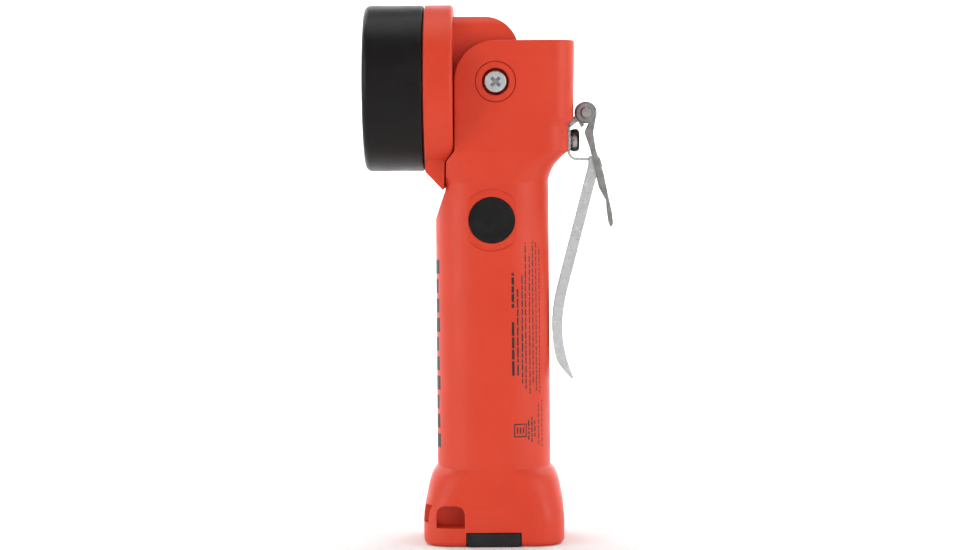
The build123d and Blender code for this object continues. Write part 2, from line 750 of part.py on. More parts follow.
# ---- door body: battery door, seal, pad and pin ----
def battery_door():
    """The hinged door with its near tab and its hinge barrel."""
    half = door_x / 2
    plate = box(-half, half, door_front_y, door_pin_y, DOOR_RECESS, door_top)
    plate += rod_x(DOOR_KNUCKLE_R, -half, half, door_pin_y, door_pin_z)
    tab_half = DOOR_TAB_W / 2
    tab_top = DOOR_RECESS + DOOR_TAB_H
    tab = box(-tab_half, tab_half, tab_face_y, door_front_y, DOOR_RECESS, tab_top)
    low_edges = tab.edges().filter_by(Axis.Y).sort_by(Axis.Z)[:2]
    plate += chamfer(low_edges, DOOR_TAB_CHAMFER)
    return plate - rod_x(DOOR_PIN_R + PIN_RUN, -half - 1, half + 1, door_pin_y, door_pin_z)


def door_seal():
    """The rubber ring between the door and the underside of the housing."""
    low = door_top
    top = door_top + DOOR_SEAL_T
    width = cavity_x + 2 * SEAL_W
    depth = cavity_y + 2 * SEAL_W
    outer = pill(width, depth, cavity_r + SEAL_W, low, top)
    return outer - pill(cavity_x + 2 * SEAL_IN, cavity_y + 2 * SEAL_IN, cavity_r, low - 1, top + 1)


def door_pad():
    """The foam pad on the door, which keeps the pack from rattling."""
    top = door_top + DOOR_PAD_T
    return pill(cavity_x - 2 * PAD_IN, cavity_y - 2 * PAD_IN, cavity_r - PAD_IN, door_top, top)


def door_pin():
    """The steel hinge pin in the two side walls of the base."""
    half = door_x / 2 + DOOR_PIN_BITE
    return rod_x(DOOR_PIN_R, -half, half, door_pin_y, door_pin_z)


# ---- switch ----
def switch_button():
    """The rubber covered push button, with its flange and stem."""
    flange_y = button_face + BUTTON_T
    stem_y = flange_y + BUTTON_FLANGE_T
    cap = rod_y(BUTTON_R, button_face, flange_y, 0, button_z)
    front = cap.edges().filter_by(GeomType.CIRCLE).sort_by(Axis.Y)[0]
    cap = fillet(front, BUTTON_PROUD)
    cap += rod_y(BUTTON_R + BUTTON_FLANGE, flange_y, stem_y, 0, button_z)
    return cap + rod_y(BUTTON_STEM_R, stem_y, stem_y + BUTTON_STEM_L, 0, button_z)


def switch_retainer():
    """The ring behind the button's flange."""
    front = retainer_y
    outer = rod_y(BUTTON_R + BUTTON_FLANGE + DOOR_GAP, front, front + RETAINER_T, 0, button_z)
    return outer - rod_y(RETAINER_HOLE_R, front - 1, front + RETAINER_T + 1, 0, button_z)


def tactile_switch():
    """The small switch on the board, with its key toward the button."""
    half = SWITCH_BODY / 2
    body = box(-half, half, switch_y, board_y, button_z - half, button_z + half)
    return body + rod_y(SWITCH_KEY_R, switch_y - SWITCH_KEY_H, switch_y, 0, button_z)


def circuit_board():
    """The upright board that carries the switch and the driver."""
    low = bulkhead_top + BOARD_LIFT
    half = BOARD_W / 2
    board = box(-half + BOARD_X, half + BOARD_X, board_y, board_y + BOARD_T, low, low + BOARD_H)
    hole_z = low + BOARD_H - BOARD_HOLE_DROP
    for x in (BOARD_X - half + BOARD_HOLE_IN, BOARD_X + half - BOARD_HOLE_IN):
        board -= rod_y(BOARD_HOLE_R, board_y - 1, board_y + BOARD_T + 1, x, hole_z)
    return board


def board_parts():
    """The driver's coil, capacitor and chips on the far face of the board."""
    face = board_y + BOARD_T
    low = bulkhead_top + BOARD_LIFT
    parts = []
    for x0, x1, z0, z1, tall in BOARD_BLOCKS:
        parts.append(box(BOARD_X + x0, BOARD_X + x1, face, face + tall, low + z0, low + z1))
    parts.append(rod_y(CAPACITOR_R, face, face + CAPACITOR_H, BOARD_X + CAPACITOR_X, low + CAPACITOR_Z))
    return Compound(parts)


def wire_grommet():
    """The rubber sleeve where the wires leave the neck for the head."""
    sleeve = rod_z(GROMMET_R - SCREW_FIT, upper_top + GROMMET_LOW_AIR, slot_floor - GROMMET_TOP_AIR, PIVOT_X)
    return sleeve - rod_z(GROMMET_BORE_R, upper_top - 1, slot_floor + 1, PIVOT_X)


def handle_wires():
    """The two lamp leads from the board up through the grommet."""
    low = bulkhead_top + BOARD_LIFT + BOARD_H - WIRE_BOARD_RUN
    start = board_y + BOARD_T + WIRE_R
    wires = []
    for side in (-0.5, 0.5):
        x = PIVOT_X + side * WIRE_GAP
        points = [
            (x, start, low),
            (x, start, low + WIRE_BOARD_RISE),
            (x, 0, upper_top + WIRE_END_AIR),
            (x, 0, slot_floor - WIRE_END_AIR),
        ]
        wires.append(tube_path(points, WIRE_BEND_R, WIRE_R))
    return Compound(wires)


# ---- head body: shell and barrel ----
def barrel_outline(grow):
    """The side outline of the barrel behind the ring, drawn in by grow."""
    drum = Pos(PIVOT_X, pivot_z) * Circle(drum_r - grow)
    dome = Pos(PIVOT_X - DOME_BACK, barrel_top - DOME_R) * Circle(DOME_R - grow)
    back_x = PIVOT_X - DOME_BACK
    low = pivot_z - drum_r + grow
    top = barrel_top - grow
    upper = Rectangle(back_x - ring_front, top - pivot_z)
    upper = Pos((ring_front + back_x) / 2, (pivot_z + top) / 2) * upper
    lower = Rectangle(PIVOT_X - ring_front, pivot_z - low)
    lower = Pos((ring_front + PIVOT_X) / 2, (pivot_z + low) / 2) * lower
    return drum + dome + upper + lower


def barrel_block(grow):
    """The barrel as a block with rounded top edges."""
    half = BARREL_HALF_W - grow
    block = extrude(Plane.XZ * barrel_outline(grow), amount=half, both=True)
    edge = BARREL_TOP_R - grow
    width = 2 * half
    high = barrel_top - grow
    low = pivot_z - NOSE_R * 2
    span = PIVOT_X + DOME_RISE - ring_front
    ends = Plane.YZ * Pos(0, (high + low) / 2) * RectangleRounded(width, high - low, edge)
    return block & Pos(ring_front, 0, 0) * extrude(ends, amount=span)


def chin_block():
    """The wedge under the ring, which fills the corner in front of the neck."""
    low = pivot_z - NECK_LOW_BELOW_PIVOT
    mid = pivot_z - NECK_MID_BELOW_PIVOT
    top = pivot_z - NECK_TOP_BELOW_PIVOT
    neck = hood_front - NECK_STEP - HEAD_GAP
    points = [
        (ring_front, top),
        (ring_front, head_z - HEAD_R),
        (neck - NECK_LEAN - CHIN_LIP, low),
        (neck - NECK_LEAN, low + CHIN_LIP),
        (neck, mid),
        (ring_rear, top),
    ]
    return side_plate(points, -BARREL_HALF_W, BARREL_HALF_W)


def neck_room():
    """What the ring leaves free behind it for the step in the neck."""
    mid = pivot_z - NECK_MID_BELOW_PIVOT
    top = pivot_z - NECK_TOP_BELOW_PIVOT
    low = head_z - HEAD_R - 1
    neck = hood_front - NECK_STEP - HEAD_GAP
    points = [(ring_rear, top), (neck, mid), (neck, low), (ring_rear + 1, low), (ring_rear + 1, top)]
    return side_plate(points, -HEAD_R, HEAD_R)


def head_inside():
    """The lamp chamber, the wire hole and the hollow barrel."""
    chamber = rod_x(collar_in, collar_front - 1, head_floor, 0, head_z)
    hole = rod_x(HEAD_HOLE_R, head_floor - 1, ring_rear + 1, 0, head_z)
    hollow = barrel_block(HEAD_WALL) & box(ring_rear, hood_rear, -HEAD_R, HEAD_R, 0, barrel_top)
    bosses = Compound([])
    boss_r = PIVOT_SCREW_R + INSERT_WALL + BOSS_WALL
    for side in (-1, 1):
        near = side * (BARREL_HALF_W - HEAD_WALL + 1)
        far = side * (BARREL_HALF_W - INSERT_L - 1)
        bosses += rod_y(boss_r, min(near, far), max(near, far), PIVOT_X, pivot_z)
    entry = rod_z(WIRE_ENTRY_R, slot_floor - 1, pivot_z, PIVOT_X)
    return chamber + hole + (hollow - bosses) + entry


def head_housing():
    """The orange shell of the head: ring, threaded collar, barrel and chin."""
    outer = rod_x(HEAD_R, ring_front, ring_rear, 0, head_z)
    rear_edge = outer.edges().filter_by(GeomType.CIRCLE).sort_by(Axis.X)[-1]
    outer = fillet(rear_edge, RING_EDGE_R)
    outer -= neck_room()
    body = outer + barrel_block(0.0) + chin_block()
    body += rod_x(collar_r, collar_front, ring_front, 0, head_z)
    body -= head_inside()
    groove = rod_x(collar_r + 1, oring_x - ORING_R, oring_x + ORING_R, 0, head_z)
    body -= groove - rod_x(oring_low, oring_x - BEYOND, oring_x + BEYOND, 0, head_z)
    for side in (-1, 1):
        inner = side * (BARREL_HALF_W - INSERT_L)
        outer_y = side * (BARREL_HALF_W + BEYOND)
        insert_r = PIVOT_SCREW_R + INSERT_WALL
        body -= rod_y(insert_r, min(inner, outer_y), max(inner, outer_y), PIVOT_X, pivot_z)
    for y, z in head_screw_places():
        body -= rod_x(HEAD_SCREW_R, head_floor - 1, head_floor + HEAD_SCREW_BITE, y, z)
    return body


def head_screw_places():
    """The three screws that hold the heat sink, as (y, z)."""
    angles = [radians(90 + 360 / HEAD_SCREWS * i) for i in range(HEAD_SCREWS)]
    return [(HEAD_SCREW_RING_R * cos(a), head_z + HEAD_SCREW_RING_R * sin(a)) for a in angles]


def bezel():
    """The black cap that screws over the collar and holds the lens."""
    bore = collar_r + THREAD_FIT
    mouth = lens_r - BEZEL_LIP_IN
    points = [
        (bezel_front, mouth + BEZEL_MOUTH_EDGE),
        (bezel_front, HEAD_R),
        (bezel_rear, HEAD_R),
        (bezel_rear, bore),
        (collar_front - COLLAR_FRONT_AIR, bore),
        (collar_front - COLLAR_FRONT_AIR, lens_r + LENS_FIT),
        (lip_rear, lens_r + LENS_FIT),
        (lip_rear, mouth),
        (bezel_front + BEZEL_MOUTH_EDGE, mouth),
    ]
    body = turned_x(points, 0, head_z)
    rims = body.edges().filter_by(GeomType.CIRCLE)
    front = [e for e in rims if abs(e.radius - HEAD_R) < NEAR and e.center().X < bezel_front + NEAR]
    body = fillet(front, BEZEL_CORNER_R)
    rims = body.edges().filter_by(GeomType.CIRCLE)
    rear = [e for e in rims if abs(e.radius - HEAD_R) < NEAR and e.center().X > bezel_rear - NEAR]
    return chamfer(rear, BEZEL_REAR_CHAMFER)


def lens_gasket():
    """The rubber ring between the bezel's lip and the lens."""
    points = [(lip_rear, lens_r - LENS_GASKET_W), (lip_rear, lens_r), (lens_front, lens_r)]
    points.append((lens_front, lens_r - LENS_GASKET_W))
    return turned_x(points, 0, head_z)


def lens():
    """The clear front window."""
    window = rod_x(lens_r, lens_front, lens_rear, 0, head_z)
    return chamfer(window.edges().filter_by(GeomType.CIRCLE), LENS_CHAMFER)


def reflector():
    """The bright bowl: a parabola of revolution about the lamp axis."""
    mouth_r = collar_in - REFLECTOR_FIT - REFLECTOR_T
    depth = star_front - REFLECTOR_REAR_AIR - collar_front
    stations = [i / BOWL_STEPS for i in range(BOWL_STEPS + 1)]
    span = mouth_r - REFLECTOR_THROAT_R
    inner = [(collar_front + depth * s, REFLECTOR_THROAT_R + span * sqrt(1 - s)) for s in stations]
    outer = [(x, r + REFLECTOR_T) for x, r in inner]
    rim = [(collar_front, lens_r), (lens_rear, lens_r), (lens_rear, mouth_r)]
    shell_in = Spline(*inner)
    shell_out = Spline(*outer)
    closing = Polyline(outer[0], *rim, inner[0])
    throat = Line(inner[-1], outer[-1])
    face = make_face([shell_in, throat, shell_out, closing])
    return Pos(0, 0, head_z) * revolve(face, axis=Axis.X, revolution_arc=360)


def heat_sink():
    """The thick aluminium disc behind the lamp."""
    body = rod_x(collar_in - HEAT_SINK_FIT, sink_front, head_floor, 0, head_z)
    head_r = HEAD_SCREW_HEAD_R + HEAD_SCREW_HEAD_FIT
    for y, z in head_screw_places():
        body -= rod_x(HEAD_SCREW_R + SCREW_FIT, sink_front - 1, head_floor + 1, y, z)
        body -= rod_x(head_r, sink_front - 1, sink_front + HEAD_SCREW_HEAD_H, y, z)
    return body - rod_x(WIRE_ENTRY_R, sink_front - 1, head_floor + 1, sink_hole_y, head_z)


def head_screws():
    """The three screws through the heat sink into the head."""
    screws = []
    for y, z in head_screw_places():
        screw = small_screw(HEAD_SCREW_R - SCREW_FIT, HEAD_SCREW_L, HEAD_SCREW_HEAD_R, HEAD_SCREW_HEAD_H)
        seat = sink_front + HEAD_SCREW_HEAD_H
        screws.append(Pos(seat, y, z) * Rot(0, -90, 0) * screw)
    return Compound(screws)


def led_board():
    """The six-pointed aluminium board under the lamp."""
    star = Rot(0, 90, 0) * extrude(RegularPolygon(STAR_R, STAR_SIDES), amount=STAR_T)
    star = Pos(star_front, 0, head_z) * star
    for i in range(STAR_SIDES):
        angle = radians(360 / STAR_SIDES * i)
        y = STAR_R * sin(angle)
        z = head_z + STAR_R * cos(angle)
        star -= rod_x(STAR_NOTCH_R, star_front - 1, sink_front + 1, y, z)
    return star


def led_emitter():
    """The lamp: a square base and its clear dome."""
    half = LED_SIDE / 2
    base = box(led_front, star_front, -half, half, head_z - half, head_z + half)
    dome = Pos(led_front, 0, head_z) * Sphere(LED_DOME_R)
    front = box(led_front - LED_DOME_R, led_front, -half, half, head_z - half, head_z + half)
    return base + (dome & front)


def bezel_oring():
    """The rubber ring in the collar's groove, under the bezel."""
    half = ORING_R - SCREW_FIT
    top = collar_r + THREAD_FIT
    points = [(oring_x - half, oring_low), (oring_x - half, top)]
    points += [(oring_x + half, top), (oring_x + half, oring_low)]
    return turned_x(points, 0, head_z)


def head_wires():
    """The two lamp leads from the barrel through the heat sink to the lamp board."""
    wires = []
    for side in (-0.5, 0.5):
        shift = side * WIRE_GAP
        z = head_z + shift
        points = [
            (PIVOT_X + shift, 0, slot_floor + WIRE_R * 3),
            (PIVOT_X + shift, 0, z),
            (ring_rear + HEAD_WALL, 0, z),
            (ring_rear, sink_hole_y, z),
            (star_front + WIRE_R, sink_hole_y, z),
        ]
        wires.append(tube_path(points, WIRE_BEND_R, WIRE_R))
    return Compound(wires)


# ---- head body: pivots ----
def pivot_bushes():
    """The two round plugs that turn in the cheeks and carry the head."""
    bushes = []
    for side in (-1, 1):
        inner = side * BARREL_HALF_W
        outer = side * (cheek_y - BUSH_SINK)
        seat = side * (cheek_y - BUSH_SINK - BUSH_COUNTERBORE_DEPTH)
        plug = rod_y(BUSH_R, min(inner, outer), max(inner, outer), PIVOT_X, pivot_z)
        rim = plug.edges().filter_by(GeomType.CIRCLE).sort_by(Axis.Y)[-1 if side > 0 else 0]
        plug = fillet(rim, BUSH_EDGE_R)
        far = side * (cheek_y + BEYOND)
        plug -= rod_y(BUSH_COUNTERBORE_R, min(seat, far), max(seat, far), PIVOT_X, pivot_z)
        plug -= rod_y(BUSH_BORE_R, min(0, far), max(0, far), PIVOT_X, pivot_z)
        bushes.append(plug)
    return Compound(bushes)


def pivot_screws():
    """The two pan head screws through the bushes into the barrel."""
    screws = []
    for side in (-1, 1):
        seat = side * (cheek_y - BUSH_SINK - BUSH_COUNTERBORE_DEPTH)
        screw = pan_screw(PIVOT_SCREW_R, PIVOT_SCREW_L, PIVOT_SCREW_HEAD_R, PIVOT_SCREW_HEAD_H, DRIVER_TURN)
        screws.append(Pos(PIVOT_X, seat, pivot_z) * Rot(-90 * side, 0, 0) * screw)
    return Compound(screws)


def pivot_inserts():
    """The threaded brass sleeves moulded into the barrel walls."""
    sleeves = []
    for side in (-1, 1):
        inner = side * (BARREL_HALF_W - INSERT_L)
        outer = side * BARREL_HALF_W
        low = min(inner, outer)
        high = max(inner, outer)
        sleeve = rod_y(PIVOT_SCREW_R + INSERT_WALL - SCREW_FIT, low, high, PIVOT_X, pivot_z)
        sleeves.append(sleeve - rod_y(PIVOT_SCREW_R + SCREW_FIT, low - 1, high + 1, PIVOT_X, pivot_z))
    return Compound(sleeves)


# ---- clip: outlines, written from the bolt ----
def from_bolt(points):
    """Points given from the bolt's middle, as places in X and Z."""
    return [(bolt_x + x, bolt_z + z) for x, z in points]


def inset(points, depth):
    """A line beside an open line, to its right by depth."""
    moved = []
    for i, (x, z) in enumerate(points):
        x0, z0 = points[max(i - 1, 0)]
        x1, z1 = points[min(i + 1, len(points) - 1)]
        run = hypot(x1 - x0, z1 - z0)
        moved.append((x + depth * (z1 - z0) / run, z - depth * (x1 - x0) / run))
    return moved


def channel(outer, flange, sheet, half, side):
    """A bent sheet along outer, with side flanges that reach to the flange line."""
    whole = side_plate(outer + flange[::-1], -half, half)
    inner = inset(outer, sheet)
    reach = inset(outer, sheet + CHANNEL_REACH)
    hollow = side_plate(inner + reach[::-1], -half + side, half - side)
    return whole - hollow


def between(start, end, share):
    """The point a share of the way from start to end."""
    return (start[0] + (end[0] - start[0]) * share, start[1] + (end[1] - start[1]) * share)


def lever_outer():
    """The lever's outer edge, from the knuckle down to the end of the thumb tab."""
    return from_bolt([(knuckle_out, 0.0), *LEVER_BACK, (TAB_END_OUT, -TAB_END_DROP)])


def lever_inner():
    """The free edge of the lever's flanges."""
    return from_bolt([(knuckle_in + LEVER_EYE_WALL, 0.0), *LEVER_EDGE, (TAB_INNER_OUT, -TAB_END_DROP)])


def riveted_edge(share):
    """A point on the inner face of the lever's straight riveted stretch."""
    face = inset(lever_outer(), LEVER_T + RIVET_SEAT)
    return between(face[3], face[4], share)


def leaf_outer():
    """The leaf's outer edge, from its top down through the nip to the toe."""
    rise = LEAF_CURVE_Z - LEAF_NIP_Z
    points = [riveted_edge(LEAF_TOP_SHARE), riveted_edge(LEAF_BEND_SHARE)]
    for i in range(LEAF_BOW_STEPS + 1):
        share = 1 - i / LEAF_BOW_STEPS
        points.append((nip_x + LEAF_BOW * share**2, LEAF_NIP_Z + rise * share))
    fall = LEAF_NIP_Z - LEAF_TOE_Z
    for i in range(1, LEAF_TOE_STEPS + 1):
        share = i / LEAF_TOE_STEPS
        points.append((nip_x + LEAF_TOE_OUT * share**2, LEAF_NIP_Z - fall * share))
    return points


def leaf_flange():
    """The free edge of the leaf's flanges, tapering at the top and into the toe."""
    outer = leaf_outer()
    reach = LEAF_T + LEAF_FLANGE
    edge = inset(outer, reach)
    flange = [between(outer[0], edge[0], LEAF_TOP_TAPER)]
    for start, end in zip(outer[1:], edge[1:]):
        share = min(max((start[1] - LEAF_TOE_Z) / (LEAF_TAPER_Z - LEAF_TOE_Z), 0.0), 1.0)
        flange.append(between(start, end, (LEAF_T + LEAF_FLANGE * share) / reach))
    return flange


def rivet_frame(side):
    """The plane of a rivet, with its axis across the lever and the leaf."""
    top = riveted_edge(0.0)
    low = riveted_edge(1.0)
    x, z = riveted_edge(RIVET_SHARE)
    return Plane(origin=(x, side * RIVET_SPREAD, z), z_dir=(top[1] - low[1], 0, low[0] - top[0]))


def rivet_holes(radius, length):
    """Round bars through both rivet places."""
    bars = [rivet_frame(side) * Cylinder(radius, length) for side in (-1, 1)]
    return Compound(bars)


def clip_leaf():
    """The long sprung leaf of the jaw."""
    leaf = channel(leaf_outer(), leaf_flange(), LEAF_T, LEAF_HALF_W, LEAF_FLANGE_T)
    return leaf - rivet_holes(RIVET_R + SCREW_FIT, RIVET_HOLE_L)


def clip_lever():
    """The lever: outer knuckles with their tails, flanged arm and thumb tab."""
    lever = channel(lever_outer(), lever_inner(), LEVER_T, STRIP_HALF_W, LEVER_FLANGE_T)
    tail = from_bolt(LEVER_TAIL)
    knuckles = rod_y(knuckle_out, -STRIP_HALF_W, STRIP_HALF_W, bolt_x, bolt_z)
    knuckles += side_plate(tail, -STRIP_HALF_W, STRIP_HALF_W)
    middle = KNUCKLE_CORE_HALF + KNUCKLE_SIDE_GAP
    core_r = knuckle_out + CLIP_KNUCKLE_AIR
    room_x = bolt_x + TAIL_ROOM_OUT
    tail_room = box(bolt_x - TAIL_ROOM_IN, room_x, -middle, middle, bolt_z - TAIL_ROOM_DROP, bolt_z)
    lever += knuckles
    lever -= rod_y(core_r, -middle, middle, bolt_x, bolt_z)
    lever -= tail_room
    lever -= rod_y(knuckle_in, -STRIP_HALF_W - 1, STRIP_HALF_W + 1, bolt_x, bolt_z)
    return lever - rivet_holes(RIVET_R + SCREW_FIT, RIVET_HOLE_L)


def clip_rivets():
    """The two rivets that join the leaf to the lever."""
    rivets = []
    for side in (-1, 1):
        out = LEVER_T + 2 * RIVET_SEAT
        deep = LEAF_T + RIVET_SEAT
        body = rod_z(RIVET_R, -deep, out)
        top = rod_z(RIVET_HEAD_R, out, out + RIVET_HEAD_T)
        low = rod_z(RIVET_HEAD_R, -deep - RIVET_HEAD_T, -deep)
        rivets.append(rivet_frame(side) * (body + top + low))
    return Compound(rivets)


def clip_bracket():
    """The fixed strip: seat plate, middle knuckle and the strap that stops the jaw."""
    plate_top = bolt_z - PLATE_TOP_DROP
    bend_z = strap_z + STRIP_T + STRAP_BEND_R
    bend_x = seat_x + STRIP_T + STRAP_BEND_R
    plate = box(seat_x, seat_x + STRIP_T, -STRIP_HALF_W, STRIP_HALF_W, bend_z + PLATE_LOW_RISE, plate_top)
    plate += box(seat_x, seat_x + STRIP_T, -STRAP_HALF_W, STRAP_HALF_W, bend_z, bend_z + 2 * PLATE_LOW_RISE)
    turn = side_disc(bend_x, bend_z, STRAP_BEND_R + STRIP_T, STRAP_HALF_W)
    turn -= side_disc(bend_x, bend_z, STRAP_BEND_R, STRAP_HALF_W + 1)
    turn &= box(seat_x - 1, bend_x, -STRAP_HALF_W, STRAP_HALF_W, strap_z - 1, bend_z)
    strap = box(bend_x, strap_end, -STRAP_HALF_W, STRAP_HALF_W, strap_z, strap_z + STRIP_T)
    neck = [
        (seat_x, plate_top - NECK_LAP),
        (seat_x + STRIP_T, plate_top - NECK_LAP),
        *from_bolt(BRACKET_NECK),
        (seat_x, plate_top + NECK_LAP),
    ]
    half = KNUCKLE_CORE_HALF
    bracket = plate + turn + strap + side_plate(neck, -half, half)
    bracket += rod_y(knuckle_out, -half, half, bolt_x, bolt_z)
    bracket -= rod_y(knuckle_in, -half - 1, half + 1, bolt_x, bolt_z)
    coil_half = KNUCKLE_SPRING_HALF
    bracket -= rod_y(knuckle_out + SPRING_SLOT_DEEP, -coil_half, coil_half, bolt_x, bolt_z)
    return bracket - rod_x(CLIP_SCREW_R + SCREW_FIT, seat_x - 1, seat_x + BEYOND, 0, screw_z)


def clip_mount_screw():
    """The pan head screw that holds the bracket to the hood."""
    screw = pan_screw(CLIP_SCREW_R, CLIP_SCREW_L, CLIP_SCREW_HEAD_R, CLIP_SCREW_HEAD_H)
    seat = seat_x + STRIP_T + WASHER_T
    return Pos(seat, 0, screw_z) * Rot(0, 90, 0) * screw


def clip_lock_washer():
    """The toothed washer under the mount screw."""
    washer = ring(WASHER_R, CLIP_SCREW_R + SCREW_FIT, 0, WASHER_T)
    for i in range(WASHER_TEETH):
        angle = 360 / WASHER_TEETH * i
        notch = Pos(WASHER_R, 0, WASHER_T / 2) * Box(WASHER_NOTCH_DEEP, WASHER_NOTCH_W, WASHER_T + 1)
        washer -= Rot(0, 0, angle) * notch
    return Pos(seat_x + STRIP_T, 0, screw_z) * Rot(0, 90, 0) * washer


def clip_insert():
    """The threaded brass sleeve in the hood, behind the mount screw."""
    outer = CLIP_SCREW_R + INSERT_WALL - SCREW_FIT
    deep = seat_x - CLIP_SCREW_L
    bore = rod_x(CLIP_SCREW_R + SCREW_FIT, deep - 1, seat_x + 1, 0, screw_z)
    return rod_x(outer, deep, seat_x, 0, screw_z) - bore


def hexagon_y(flats, y0, y1):
    """A hexagon bar along Y on the bolt's axis, with its corners turned off."""
    corner_r = flats / sqrt(3)
    bar = extrude(RegularPolygon(corner_r, HEX_SIDES), amount=y1 - y0)
    cone = Pos(0, 0, (y1 - y0) / 2) * Cylinder(corner_r - HEX_CORNER_OFF, y1 - y0)
    cone = chamfer(cone.edges().filter_by(GeomType.CIRCLE), HEX_CHAMFER)
    return Pos(bolt_x, y1, bolt_z) * Rot(90, 0, 0) * (bar & cone)


def clip_bolt():
    """The hinge bolt, with its hexagon head on the far side."""
    head_y = STRIP_HALF_W + BOLT_END_GAP
    tip_y = -(STRIP_HALF_W + BOLT_END_GAP + NUT_T + STUD_OUT)
    shank = rod_y(CLIP_BOLT_R, tip_y, head_y, bolt_x, bolt_z)
    shank = chamfer(shank.edges().filter_by(GeomType.CIRCLE).sort_by(Axis.Y)[0], HEX_CHAMFER)
    return shank + hexagon_y(NUT_FLATS, head_y, head_y + CLIP_HEAD_T)


def clip_nut():
    """The hexagon nut on the near end of the hinge bolt."""
    far_y = -(STRIP_HALF_W + BOLT_END_GAP)
    nut = hexagon_y(NUT_FLATS, far_y - NUT_T, far_y)
    return nut - rod_y(CLIP_BOLT_R + SCREW_FIT, far_y - NUT_T - 1, far_y + 1, bolt_x, bolt_z)


def clip_spring():
    """The torsion spring on the bolt, with one leg on the plate and one on the lever."""
    pitch = (KNUCKLE_SPRING_HALF - TORSION_WIRE_R - KNUCKLE_SIDE_GAP / 2) * 2 / TORSION_TURNS
    wound = coil(TORSION_R, TORSION_WIRE_R, pitch, TORSION_TURNS)
    wound = Pos(bolt_x, pitch * TORSION_TURNS / 2, bolt_z) * Rot(90, 0, 0) * Rot(0, 0, 180) * wound
    reach = pitch * TORSION_TURNS / 2
    joint_x = bolt_x - TORSION_R
    plate_leg = Cylinder(TORSION_WIRE_R, TORSION_LEG)
    low = Pos(joint_x, -reach, bolt_z - TORSION_LEG / 2 + TORSION_WIRE_R) * plate_leg
    high = Pos(joint_x, reach, bolt_z - TORSION_LEG / 2 + TORSION_WIRE_R) * plate_leg
    return wound + low + high


# ---- every node, written out ----
NODES = {
    "handle_housing": handle_housing,
    "battery_cells": battery_cells,
    "battery_sleeve": battery_sleeve,
    "battery_caps": battery_caps,
    "battery_contacts": battery_contacts,
    "battery_springs": battery_springs,
    "bulkhead": bulkhead,
    "bulkhead_screws": bulkhead_screws,
    "battery_door": battery_door,
    "door_seal": door_seal,
    "door_pad": door_pad,
    "door_pin": door_pin,
    "switch_button": switch_button,
    "switch_retainer": switch_retainer,
    "tactile_switch": tactile_switch,
    "circuit_board": circuit_board,
    "board_parts": board_parts,
    "wire_grommet": wire_grommet,
    "handle_wires": handle_wires,
    "head_housing": head_housing,
    "bezel": bezel,
    "bezel_oring": bezel_oring,
    "lens": lens,
    "lens_gasket": lens_gasket,
    "reflector": reflector,
    "led_emitter": led_emitter,
    "led_board": led_board,
    "heat_sink": heat_sink,
    "head_screws": head_screws,
    "head_wires": head_wires,
    "pivot_bushes": pivot_bushes,
    "pivot_screws": pivot_screws,
    "pivot_inserts": pivot_inserts,
    "clip_bracket": clip_bracket,
    "clip_mount_screw": clip_mount_screw,
    "clip_lock_washer": clip_lock_washer,
    "clip_insert": clip_insert,
    "clip_bolt": clip_bolt,
    "clip_nut": clip_nut,
    "clip_spring": clip_spring,
    "clip_lever": clip_lever,
    "clip_leaf": clip_leaf,
    "clip_rivets": clip_rivets,
}

os.makedirs("parts", exist_ok=True)
for name, make in NODES.items():
    export_step(make(), f"parts/{name}.step")
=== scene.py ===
import json
import math
import random

import bmesh
import bpy
from mathutils import Matrix, Vector


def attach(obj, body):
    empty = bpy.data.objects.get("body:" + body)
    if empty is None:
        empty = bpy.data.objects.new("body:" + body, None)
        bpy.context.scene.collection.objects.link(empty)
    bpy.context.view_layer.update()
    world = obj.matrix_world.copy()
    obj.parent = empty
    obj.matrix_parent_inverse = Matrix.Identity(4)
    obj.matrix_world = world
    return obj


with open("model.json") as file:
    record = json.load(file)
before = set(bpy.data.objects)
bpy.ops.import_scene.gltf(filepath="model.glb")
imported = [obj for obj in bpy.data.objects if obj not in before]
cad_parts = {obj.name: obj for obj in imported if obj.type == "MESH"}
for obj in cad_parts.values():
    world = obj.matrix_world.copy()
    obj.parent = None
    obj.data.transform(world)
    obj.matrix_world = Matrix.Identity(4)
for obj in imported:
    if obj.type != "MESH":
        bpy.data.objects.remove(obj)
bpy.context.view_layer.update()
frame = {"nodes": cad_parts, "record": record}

MM = 0.001

# Camera
CAMERA_TURN = math.radians(0.8)
CAMERA_PITCH = math.radians(3.2)
CAMERA_ROLL = math.radians(-0.45)
CAMERA_AWAY = 1.1
VIEW_WIDTH = 0.3664
SENSOR = 36.0
SEEN_FROM = 0.01
SEEN_TO = 30
AIM = Vector((-0.0014, 0, 0.0992))

# Cove
COVE_FLAT = 2.0
COVE_BEND = 1.0
COVE_TOP = 2.6
COVE_BEND_STEPS = 12
COVE_SIDES = 72

# Light: name, place, target, size and watts of each lamp
SKY_GLOW = 0.33
MIDDLE = Vector((0, 0, 0.1))
LAMPS = [
    ("left_box", (-1.0, -0.58, 0.30), MIDDLE, (0.5, 1.1), 6.2),
    ("right_box", (1.0, -0.58, 0.30), MIDDLE, (0.5, 1.1), 6.2),
    ("top_box", (0.0, 0.15, 1.2), MIDDLE, (1.0, 0.7), 3),
    ("left_wash", (-0.9, 0.9, 1.5), Vector((-0.6, 2.9, 0.1)), (0.8, 0.8), 45),
    ("right_wash", (0.9, 0.9, 1.5), Vector((0.6, 2.9, 0.1)), (0.8, 0.8), 45),
]

# Finding the grip's skin
GRIP_CORNER = 17.0 * MM
PROBE_AWAY = 0.1
PROBE_HEIGHT = 0.08
PROBE_OUT = 2 * MM

# Print on the grip, in millimetres
INK_PROUD = 0.03 * MM
INK_SHARE = 0.8
DASH_GAP = 0.45
DASH_LEAST = 0.35
GAP_LEAST = 0.8
GAP_SPREAD = 0.6

